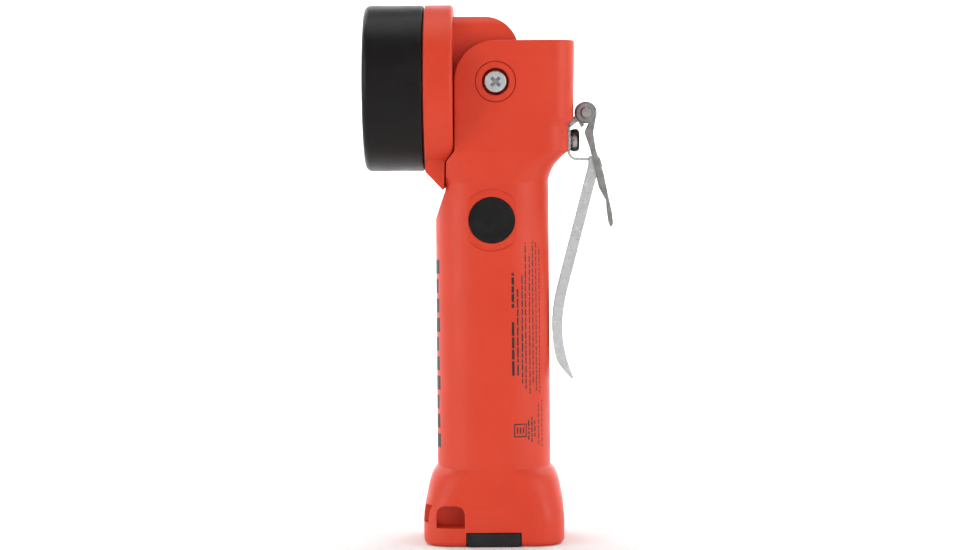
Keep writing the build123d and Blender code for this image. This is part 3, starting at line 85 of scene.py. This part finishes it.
# Columns: how far round from the middle of the near face, lowest and highest, width, longest dash
PRINT_COLUMNS = [
    (7.6, 63, 83, 0.95, 6.0),
    (7.6, 88, 101, 0.95, 3.6),
    (9.4, 63, 95, 0.62, 4.2),
    (11.2, 60, 100, 0.50, 3.4),
    (12.6, 58, 112, 0.50, 3.0),
    (14.3, 56, 108, 0.45, 3.0),
    (15.8, 60, 113, 0.45, 2.6),
    (17.4, 57, 112, 0.40, 2.6),
    (19.2, 56, 110, 0.40, 2.4),
    (13.6, 39, 46.5, 0.62, 2.4),
    (15.0, 38, 47.5, 0.55, 2.0),
    (16.4, 40, 46, 0.50, 2.2),
    (18.4, 37, 52, 0.40, 2.4),
    (20.4, 36, 54, 0.40, 2.2),
]

# Square outline with three bars
FRAME_ACROSS = 10.2
FRAME_HEIGHT = 42.6
FRAME_HALF = 2.3
FRAME_LINE = 0.42
BAR_STEP = 1.2
BAR_W = 0.5
BAR_L = 2.2

# Stripes down the front of the grip
STRIPE_ACROSS = -33.2
STRIPE_W = 19.0
STRIPE_NARROWER = 1.2
STRIPE_L = 5.2
STRIPE_LOW = 38
STRIPE_PITCH = 7.2
STRIPE_COUNT = 10
STRIPE_WIDTHS = 3

# Colours and the steel pieces that are handled most
ORANGE = (0.70, 0.050, 0.016)
ORANGE_DEEP = (0.67, 0.043, 0.013)
# Colours, and the clip's steel pieces given a darker copy of the stainless finish as painted shade
ORANGE_WORN = (0.77, 0.12, 0.055)
PAINTED_SHADE_PIECES = ("clip_lever", "clip_bolt", "clip_nut", "clip_mount_screw", "clip_lock_washer")

# Length of a battery cell, and where the bright band on its sleeve starts
CELL_LENGTH = 48.5 * MM
CELL_BAND = 36 * MM


# ---------------------------------------------------------------- materials

def begin(name):
    """A new material: its node tree, its shader and the place of a point on the object."""
    material = bpy.data.materials.new(name)
    material.use_nodes = True
    tree = material.node_tree
    shader = tree.nodes["Principled BSDF"]
    place = tree.nodes.new("ShaderNodeTexCoord").outputs["Object"]
    return material, tree, shader, place


def feed(tree, node, values):
    """Links each socket, or sets each constant, to the input of that name."""
    for name, value in values.items():
        if isinstance(value, bpy.types.NodeSocket):
            tree.links.new(value, node.inputs[name])
        else:
            node.inputs[name].default_value = value


def sized(tree, place, size, stretch):
    """Places measured in steps of that size in metres, longer where stretch is above one."""
    mapping = tree.nodes.new("ShaderNodeMapping")
    feed(tree, mapping, {"Vector": place, "Scale": [1 / (size * s) for s in stretch]})
    return mapping.outputs["Vector"]


def grain(tree, place, size, detail=2.0, stretch=(1, 1, 1)):
    """Cloudy noise with grains of that size in metres."""
    noise = tree.nodes.new("ShaderNodeTexNoise")
    feed(tree, noise, {"Vector": sized(tree, place, size, stretch), "Scale": 1.0, "Detail": detail})
    return noise.outputs["Fac"]


def cells(tree, place, size, feature="F1"):
    """Distance to scattered points, or to the edges between them, that far apart in metres."""
    spots = tree.nodes.new("ShaderNodeTexVoronoi")
    spots.feature = feature
    feed(tree, spots, {"Vector": sized(tree, place, size, (1, 1, 1)), "Scale": 1.0})
    return spots.outputs["Distance"]


def ranged(tree, value, low, high, out_low, out_high):
    """value taken from one range to another, kept within it."""
    node = tree.nodes.new("ShaderNodeMapRange")
    node.interpolation_type = "SMOOTHSTEP"
    for socket, number in zip(node.inputs[1:5], (low, high, out_low, out_high)):
        socket.default_value = number
    tree.links.new(value, node.inputs["Value"])
    return node.outputs["Result"]


def mottle(tree, place, size, low, high, detail=3, stretch=(1, 1, 1)):
    """A value that drifts between two others in patches of that size."""
    return ranged(tree, grain(tree, place, size, detail, stretch), 0.3, 0.7, low, high)


def blended(tree, share, first, second):
    """first where share is 0 and second where it is 1; each is a colour or a socket."""
    node = tree.nodes.new("ShaderNodeMix")
    node.data_type = "RGBA"
    tree.links.new(share, node.inputs["Factor"])
    for name, value in (("A", first), ("B", second)):
        socket = [s for s in node.inputs if s.name == name and s.type == "RGBA"][0]
        if isinstance(value, bpy.types.NodeSocket):
            tree.links.new(value, socket)
        else:
            socket.default_value = (*value, 1)
    return [s for s in node.outputs if s.type == "RGBA"][0]


def summed(tree, first, second, how="ADD"):
    """Two values joined by a sum, product or other rule."""
    node = tree.nodes.new("ShaderNodeMath")
    node.operation = how
    for socket, value in zip(node.inputs, (first, second)):
        if isinstance(value, bpy.types.NodeSocket):
            tree.links.new(value, socket)
        else:
            socket.default_value = value
    return node.outputs["Value"]


def raised(tree, height, depth, under=None):
    """A bumped normal from a height, depth metres deep, over another normal."""
    bump = tree.nodes.new("ShaderNodeBump")
    feed(tree, bump, {"Strength": 1.0, "Distance": depth, "Height": height})
    if under is not None:
        tree.links.new(under, bump.inputs["Normal"])
    return bump.outputs["Normal"]


def corners(tree, radius):
    """A softened normal, and how near an edge is, from 0 to 1."""
    soft = tree.nodes.new("ShaderNodeBevel")
    soft.samples = 6
    soft.inputs["Radius"].default_value = radius
    sharp = tree.nodes.new("ShaderNodeNewGeometry")
    product = tree.nodes.new("ShaderNodeVectorMath")
    product.operation = "DOT_PRODUCT"
    tree.links.new(soft.outputs["Normal"], product.inputs[0])
    tree.links.new(sharp.outputs["Normal"], product.inputs[1])
    edge = ranged(tree, product.outputs["Value"], 0.82, 0.99, 1.0, 0.0)
    return soft.outputs["Normal"], edge


def moulded(name, colour, dark, worn, rough, gloss=0.5, texture=0.22, sink=0.06):
    """Injection moulded plastic: fine spark texture, slight sinks, scuffs and paler worn edges."""
    material, tree, shader, place = begin(name)
    soft, rim = corners(tree, 0.5 * MM)
    tone = blended(tree, mottle(tree, place, 26 * MM, 0, 1), colour, dark)
    patchy = ranged(tree, grain(tree, place, 2.4 * MM, 4), 0.38, 0.62, 0, 0.3)
    rubbed = summed(tree, rim, patchy, "MULTIPLY")
    blotch = mottle(tree, place, 7 * MM, rough - 0.04, rough + 0.05, 4)
    scuff = ranged(tree, grain(tree, place, 0.5 * MM, 3, (1, 1, 14)), 0.66, 0.74, 0, 0.05)
    wave = raised(tree, grain(tree, place, 14 * MM, 1), sink * MM, soft)
    feed(tree, shader, {
        "Base Color": blended(tree, rubbed, tone, worn),
        "Roughness": summed(tree, blotch, scuff),
        "Normal": raised(tree, grain(tree, place, texture * MM, 3), 0.006 * MM, wave),
        "Specular IOR Level": gloss,
    })
    return material


def tumbled(name, colour, shade, rough, dent=1.2, depth=0.0015, stretch=(1, 1, 1)):
    """Metal with small dents and a cloudy shine, from tumbling, plating or rolling, with painted shade
    darkening its hollows and edges.
    """
    material, tree, shader, place = begin(name)
    soft, rim = corners(tree, 0.3 * MM)
    cloud = grain(tree, place, 3.2 * MM, 4)
    tone = blended(tree, ranged(tree, cloud, 0.32, 0.68, 0, 1), colour, shade)
    # Painted shade: a dark copy of the colour, laid into hollows found by ambient occlusion and along edges.
    dark = [0.3 * c for c in colour]
    nook = tree.nodes.new("ShaderNodeAmbientOcclusion")
    nook.samples = 6
    nook.inputs["Distance"].default_value = 2.5 * MM
    # Painted shade in hollows.
    painted_nook_shade = ranged(tree, nook.outputs["AO"], 0.35, 0.85, 0.85, 0.0)
    tone = blended(tree, painted_nook_shade, tone, dark)
    dents = raised(tree, grain(tree, place, dent * MM, 2, stretch), depth * MM, soft)
    feed(tree, shader, {
        # Painted shade along edges: the colour is darkened towards the dark copy near each edge.
        "Base Color": blended(tree, summed(tree, rim, 0.8, "MULTIPLY"), tone, dark),
        "Roughness": mottle(tree, place, 1.6 * MM, rough - 0.03, rough + 0.06, 4, stretch),
        "Metallic": 1.0,
        "Normal": raised(tree, grain(tree, place, 0.15 * MM, 2, (1, 1, 22)), 0.001 * MM, dents),
    })
    return material


def soft_rubber(name, colour, worn, rough):
    """Matt elastomer with a faint bloom and dust in its grain."""
    material, tree, shader, place = begin(name)
    bloom = ranged(tree, grain(tree, place, 5 * MM, 4), 0.42, 0.72, 0, 0.6)
    soft, _ = corners(tree, 0.3 * MM)
    feed(tree, shader, {
        "Base Color": blended(tree, bloom, colour, worn),
        "Roughness": mottle(tree, place, 2 * MM, rough - 0.06, rough + 0.06, 4),
        "Specular IOR Level": 0.22,
        "Normal": raised(tree, grain(tree, place, 0.3 * MM, 3), 0.02 * MM, soft),
    })
    return material


def foamed(name, colour, dark):
    """Closed cell foam."""
    material, tree, shader, place = begin(name)
    pore = cells(tree, place, 0.7 * MM)
    feed(tree, shader, {
        "Base Color": blended(tree, ranged(tree, pore, 0.1, 0.6, 0, 1), dark, colour),
        "Roughness": ranged(tree, pore, 0.1, 0.6, 0.95, 0.8),
        "Normal": raised(tree, pore, 0.15 * MM),
    })
    return material


def clear_lens(name):
    """Polycarbonate with a hard coat, faint haze and a few hairline scratches."""
    material, tree, shader, place = begin(name)
    tone = mottle(tree, place, 9 * MM, 0, 1)
    feed(tree, shader, {
        "Base Color": blended(tree, tone, (0.98, 0.99, 1.0), (0.95, 0.97, 0.98)),
        "Roughness": ranged(tree, grain(tree, place, 0.35 * MM, 2, (1, 1, 30)), 0.72, 0.78, 0.015, 0.09),
        "Transmission Weight": 1.0,
        "IOR": 1.49,
        "Coat Weight": 0.3,
        "Coat Roughness": 0.03,
        "Normal": raised(tree, grain(tree, place, 6 * MM, 1), 0.01 * MM),
    })
    return material


def vacuum_chrome(name):
    """Metallised reflector bowl, with the light peel of a lacquered moulding."""
    material, tree, shader, place = begin(name)
    tone = mottle(tree, place, 5 * MM, 0, 1)
    feed(tree, shader, {
        "Base Color": blended(tree, tone, (0.9, 0.91, 0.93), (0.82, 0.83, 0.86)),
        "Roughness": mottle(tree, place, 1.5 * MM, 0.06, 0.13),
        "Metallic": 1.0,
        "Normal": raised(tree, cells(tree, place, 1.1 * MM, "SMOOTH_F1"), 0.05 * MM),
    })
    return material


def circuit_green(name):
    """Solder mask with copper runs under it."""
    material, tree, shader, place = begin(name)
    runs = ranged(tree, cells(tree, place, 3 * MM, "DISTANCE_TO_EDGE"), 0.06, 0.1, 1, 0)
    feed(tree, shader, {
        "Base Color": blended(tree, runs, (0.01, 0.12, 0.045), (0.03, 0.22, 0.07)),
        "Roughness": mottle(tree, place, 1 * MM, 0.25, 0.4),
        "Normal": raised(tree, runs, 0.03 * MM),
    })
    return material


def cell_wrap(name):
    """Shrink sleeve of a cell, with a brighter band at its top end."""
    material, tree, shader, place = begin(name)
    parted = tree.nodes.new("ShaderNodeSeparateXYZ")
    tree.links.new(place, parted.inputs["Vector"])
    along = summed(tree, parted.outputs["Z"], CELL_LENGTH, "MODULO")
    band = summed(tree, along, CELL_BAND, "GREATER_THAN")
    feed(tree, shader, {
        "Base Color": blended(tree, band, (0.03, 0.05, 0.12), (0.75, 0.36, 0.12)),
        "Roughness": mottle(tree, place, 2 * MM, 0.22, 0.36),
        "Normal": raised(tree, grain(tree, place, 4 * MM, 3, (1, 1, 5)), 0.05 * MM),
    })
    return material


def printed_ink(name):
    """Pad printed ink, a little thin and rubbed in places."""
    material, tree, shader, place = begin(name)
    rub = ranged(tree, grain(tree, place, 0.6 * MM, 3), 0.56, 0.74, 0, 0.5)
    feed(tree, shader, {
        "Base Color": blended(tree, rub, (0.012, 0.011, 0.011), (0.20, 0.03, 0.018)),
        "Roughness": mottle(tree, place, 0.3 * MM, 0.5, 0.66, 2),
        "Normal": raised(tree, grain(tree, place, 0.2 * MM, 2), 0.003 * MM),
    })
    return material


def studio_paper(name):
    """Seamless white paper."""
    material, tree, shader, place = begin(name)
    fibre = grain(tree, place, 3 * MM, 4)
    feed(tree, shader, {
        "Base Color": blended(tree, fibre, (0.93, 0.93, 0.93), (0.95, 0.95, 0.95)),
        "Roughness": ranged(tree, fibre, 0.3, 0.7, 0.85, 0.95),
        "Normal": raised(tree, fibre, 0.02 * MM),
        "Specular IOR Level": 0.1,
    })
    return material


# The finish of each slot in the record, and of the print and of the darker stainless copy that paints shade on
# the clip's hardware
finishes = {
    "orange_plastic": moulded("orange_nylon", ORANGE, ORANGE_DEEP, ORANGE_WORN, 0.44, 0.36),
    "black_plastic": moulded(
        "black_nylon", (0.012, 0.012, 0.013), (0.009, 0.009, 0.01), (0.03, 0.03, 0.032), 0.52, 0.3, sink=0.03),
    "bezel_black": moulded(
        "bezel_satin_black", (0.007, 0.006, 0.006), (0.005, 0.004, 0.004), (0.02, 0.018, 0.017), 0.34, 0.20,
        sink=0.02),
    "rubber": soft_rubber("button_rubber", (0.006, 0.006, 0.0065), (0.012, 0.012, 0.013), 0.72),
    "foam": foamed("seal_foam", (0.05, 0.05, 0.052), (0.02, 0.02, 0.02)),
    "stainless": tumbled("tumbled_stainless", (0.76, 0.76, 0.765), (0.71, 0.71, 0.715), 0.28),
    # A darker copy of the stainless: painted shade for the clip's lever, bolt, nut, screw and washer.
    "painted_shade_stainless": tumbled("painted_shade_stainless", (0.42, 0.41, 0.40), (0.31, 0.30, 0.29), 0.30),
    "steel": tumbled("zinc_plated_steel", (0.70, 0.72, 0.73), (0.60, 0.62, 0.63), 0.30, 0.8, 0.003),
    "spring_steel": tumbled("spring_wire", (0.55, 0.55, 0.54), (0.42, 0.42, 0.41), 0.26, 0.6, 0.003),
    "plated_brass": tumbled("nickel_plated_brass", (0.72, 0.66, 0.52), (0.62, 0.55, 0.42), 0.28, 0.8, 0.003),
    "aluminium": tumbled(
        "milled_aluminium", (0.70, 0.71, 0.72), (0.62, 0.63, 0.64), 0.34, 0.5, 0.003, stretch=(1, 1, 8)),
    "clear_lens": clear_lens("polycarbonate_lens"),
    "reflector_chrome": vacuum_chrome("metallised_reflector"),
    "led": moulded("led_ceramic", (0.75, 0.74, 0.68), (0.70, 0.69, 0.62), (0.9, 0.9, 0.86), 0.35),
    "board_green": circuit_green("green_circuit_board"),
    "board_parts": moulded("chip_epoxy", (0.02, 0.02, 0.022), (0.015, 0.015, 0.016), (0.08, 0.08, 0.08), 0.45),
    "wire_red": soft_rubber("wire_insulation", (0.45, 0.01, 0.008), (0.5, 0.03, 0.02), 0.45),
    "cell_wrap": cell_wrap("cell_shrink_sleeve"),
    "ink": printed_ink("black_pad_print"),
}


def dress_frame():
    """Gives every CAD node the finish of its slot, with the clip's hardware given a darker copy of the
    stainless than its leaf, as painted shade.
    """
    slots = {part["node"]: part["material_slot"] for part in frame["record"]["subparts"]}
    for node, piece in frame["nodes"].items():
        finish = "painted_shade_stainless" if node in PAINTED_SHADE_PIECES else slots[node]
        piece.data.materials.clear()
        piece.data.materials.append(finishes[finish])


# ---------------------------------------------------------------- print on the grip

def skin_point(outside, inward):
    """The point of the handle's skin met by a line from outside it."""
    hit, point, _, _ = frame["nodes"]["handle_housing"].ray_cast(outside, inward)
    if not hit:
        raise ValueError("the line misses the handle")
    return point


def grip_half(way):
    """Half the grip's size in a level direction."""
    return abs(skin_point(way * PROBE_AWAY + Vector((0, 0, PROBE_HEIGHT)), -way).dot(way))


def grip_point(across, height):
    """The point on the grip's skin that far round from the middle of its near face, and the way out."""
    flat = grip_half_x - GRIP_CORNER
    side = 1 if across > 0 else -1
    run = abs(across)
    turn = min(max(run - flat, 0) / GRIP_CORNER, math.pi / 2)
    beyond = max(run - flat - turn * GRIP_CORNER, 0)
    x = side * (min(run, flat) + GRIP_CORNER * math.sin(turn))
    y = GRIP_CORNER * (1 - math.cos(turn)) - grip_half_y + beyond
    out = Vector((side * math.sin(turn), -math.cos(turn), 0))
    return skin_point(Vector((x, y, height)) + out * PROBE_OUT, -out), out


def finished(form, name, material):
    """A bmesh made into a piece with that finish."""
    mesh = bpy.data.meshes.new(name)
    form.to_mesh(mesh)
    form.free()
    mesh.materials.append(material)
    piece = bpy.data.objects.new(name, mesh)
    bpy.context.scene.collection.objects.link(piece)
    return piece


def ink_marks(name, marks):
    """Thin printed marks; each is (across, height, width, length) on the grip, in millimetres."""
    ink = bmesh.new()
    for across, height, width, length in marks:
        columns = max(2, round(width))
        patch = bmesh.ops.create_grid(ink, x_segments=columns, y_segments=2, size=0.5)
        for vert in patch["verts"]:
            point, out = grip_point((across + vert.co.x * width) * MM, (height + vert.co.y * length) * MM)
            vert.co = point + out * INK_PROUD
    bmesh.ops.recalc_face_normals(ink, faces=ink.faces[:])
    bmesh.ops.solidify(ink, geom=ink.faces[:], thickness=INK_PROUD * INK_SHARE)
    piece = finished(ink, name, finishes["ink"])
    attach(piece, "handle")


def dashes(across, low, high, width, longest, seed):
    """A column of uneven dashes between two heights, as a stand-in for a line of small print."""
    chance = random.Random(seed)
    marks = []
    height = low
    while height < high:
        share = DASH_LEAST + (1 - DASH_LEAST) * chance.random()
        length = min(longest * share, high - height)
        marks.append((across, height + length / 2, width, length))
        height += length + DASH_GAP * (GAP_LEAST + GAP_SPREAD * chance.random())
    return marks


def grip_print():
    """The blocks of small print on the near rear side of the grip, as plain dashes."""
    marks = []
    for number, column in enumerate(PRINT_COLUMNS):
        marks += dashes(*column, number)
    ink_marks("grip_print", marks)


def approval_frame():
    """A plain square outline with three bars in it, where an approval mark would be."""
    side = 2 * FRAME_HALF
    marks = [(FRAME_ACROSS + way * FRAME_HALF, FRAME_HEIGHT, FRAME_LINE, side + FRAME_LINE) for way in (-1, 1)]
    marks += [(FRAME_ACROSS, FRAME_HEIGHT + way * FRAME_HALF, side, FRAME_LINE) for way in (-1, 1)]
    marks += [(FRAME_ACROSS + step * BAR_STEP, FRAME_HEIGHT, BAR_W, BAR_L) for step in (-1, 0, 1)]
    ink_marks("approval_frame", marks)


def front_stripes():
    """The large dark print along the front of the grip, as a broken stripe."""
    marks = []
    for number in range(STRIPE_COUNT):
        width = STRIPE_W - STRIPE_NARROWER * (number % STRIPE_WIDTHS)
        marks.append((STRIPE_ACROSS, STRIPE_LOW + STRIPE_PITCH * number, width, STRIPE_L))
    ink_marks("front_stripes", marks)


# ---------------------------------------------------------------- studio

def soft_box(name, place, target, size, watts):
    """A rectangular area light that faces a target."""
    lamp = bpy.data.lights.new(name, "AREA")
    lamp.shape = "RECTANGLE"
    lamp.size, lamp.size_y = size
    lamp.energy = watts
    box = bpy.data.objects.new(name, lamp)
    bpy.context.scene.collection.objects.link(box)
    box.location = place
    box.rotation_euler = (target - Vector(place)).to_track_quat("-Z", "Y").to_euler()


def cove():
    """The seamless white floor and wall, turned all round the middle."""
    turn = [math.pi / 2 / COVE_BEND_STEPS * step for step in range(1, COVE_BEND_STEPS + 1)]
    outline = [(0, 0), (COVE_FLAT / 4, 0), (COVE_FLAT, 0)]
    outline += [(COVE_FLAT + COVE_BEND * math.sin(a), COVE_BEND * (1 - math.cos(a))) for a in turn]
    outline.append((COVE_FLAT + COVE_BEND, COVE_TOP))
    sweep = bmesh.new()
    points = [sweep.verts.new((away, 0, height)) for away, height in outline]
    edges = [sweep.edges.new(pair) for pair in zip(points, points[1:])]
    bmesh.ops.spin(
        sweep, geom=points + edges, cent=(0, 0, 0), axis=(0, 0, 1), angle=math.tau, steps=COVE_SIDES,
        use_merge=True)
    bmesh.ops.remove_doubles(sweep, verts=sweep.verts[:], dist=MM)
    bmesh.ops.recalc_face_normals(sweep, faces=sweep.faces[:])
    finished(sweep, "studio_cove", studio_paper("cove_paper"))


def sky():
    """An even white glow from all sides."""
    world = bpy.data.worlds.new("light_tent")
    bpy.context.scene.world = world
    world.use_nodes = True
    glow = world.node_tree.nodes["Background"]
    glow.inputs["Color"].default_value = (1, 1, 1, 1)
    glow.inputs["Strength"].default_value = SKY_GLOW


def camera():
    """The camera, level with the middle of the light and a little above it."""
    lens = bpy.data.cameras.new("camera")
    eye = bpy.data.objects.new("camera", lens)
    bpy.context.scene.collection.objects.link(eye)
    lens.sensor_width = SENSOR
    lens.sensor_fit = "HORIZONTAL"
    lens.lens = SENSOR * CAMERA_AWAY / VIEW_WIDTH
    lens.clip_start = SEEN_FROM
    lens.clip_end = SEEN_TO
    level = math.cos(CAMERA_PITCH) * CAMERA_AWAY
    rise = math.sin(CAMERA_PITCH) * CAMERA_AWAY
    eye.location = AIM + Vector((math.sin(CAMERA_TURN) * level, -math.cos(CAMERA_TURN) * level, rise))
    tilt = Matrix.Rotation(CAMERA_TURN, 4, "Z") @ Matrix.Rotation(math.pi / 2 - CAMERA_PITCH, 4, "X")
    eye.rotation_euler = (tilt @ Matrix.Rotation(CAMERA_ROLL, 4, "Z")).to_euler()
    bpy.context.scene.camera = eye
    bpy.context.scene.view_settings.view_transform = "Standard"


dress_frame()
grip_half_x = grip_half(Vector((-1, 0, 0)))
grip_half_y = grip_half(Vector((0, -1, 0)))
grip_print()
approval_frame()
front_stripes()
cove()
sky()
for lamp_settings in LAMPS:
    soft_box(*lamp_settings)
camera()
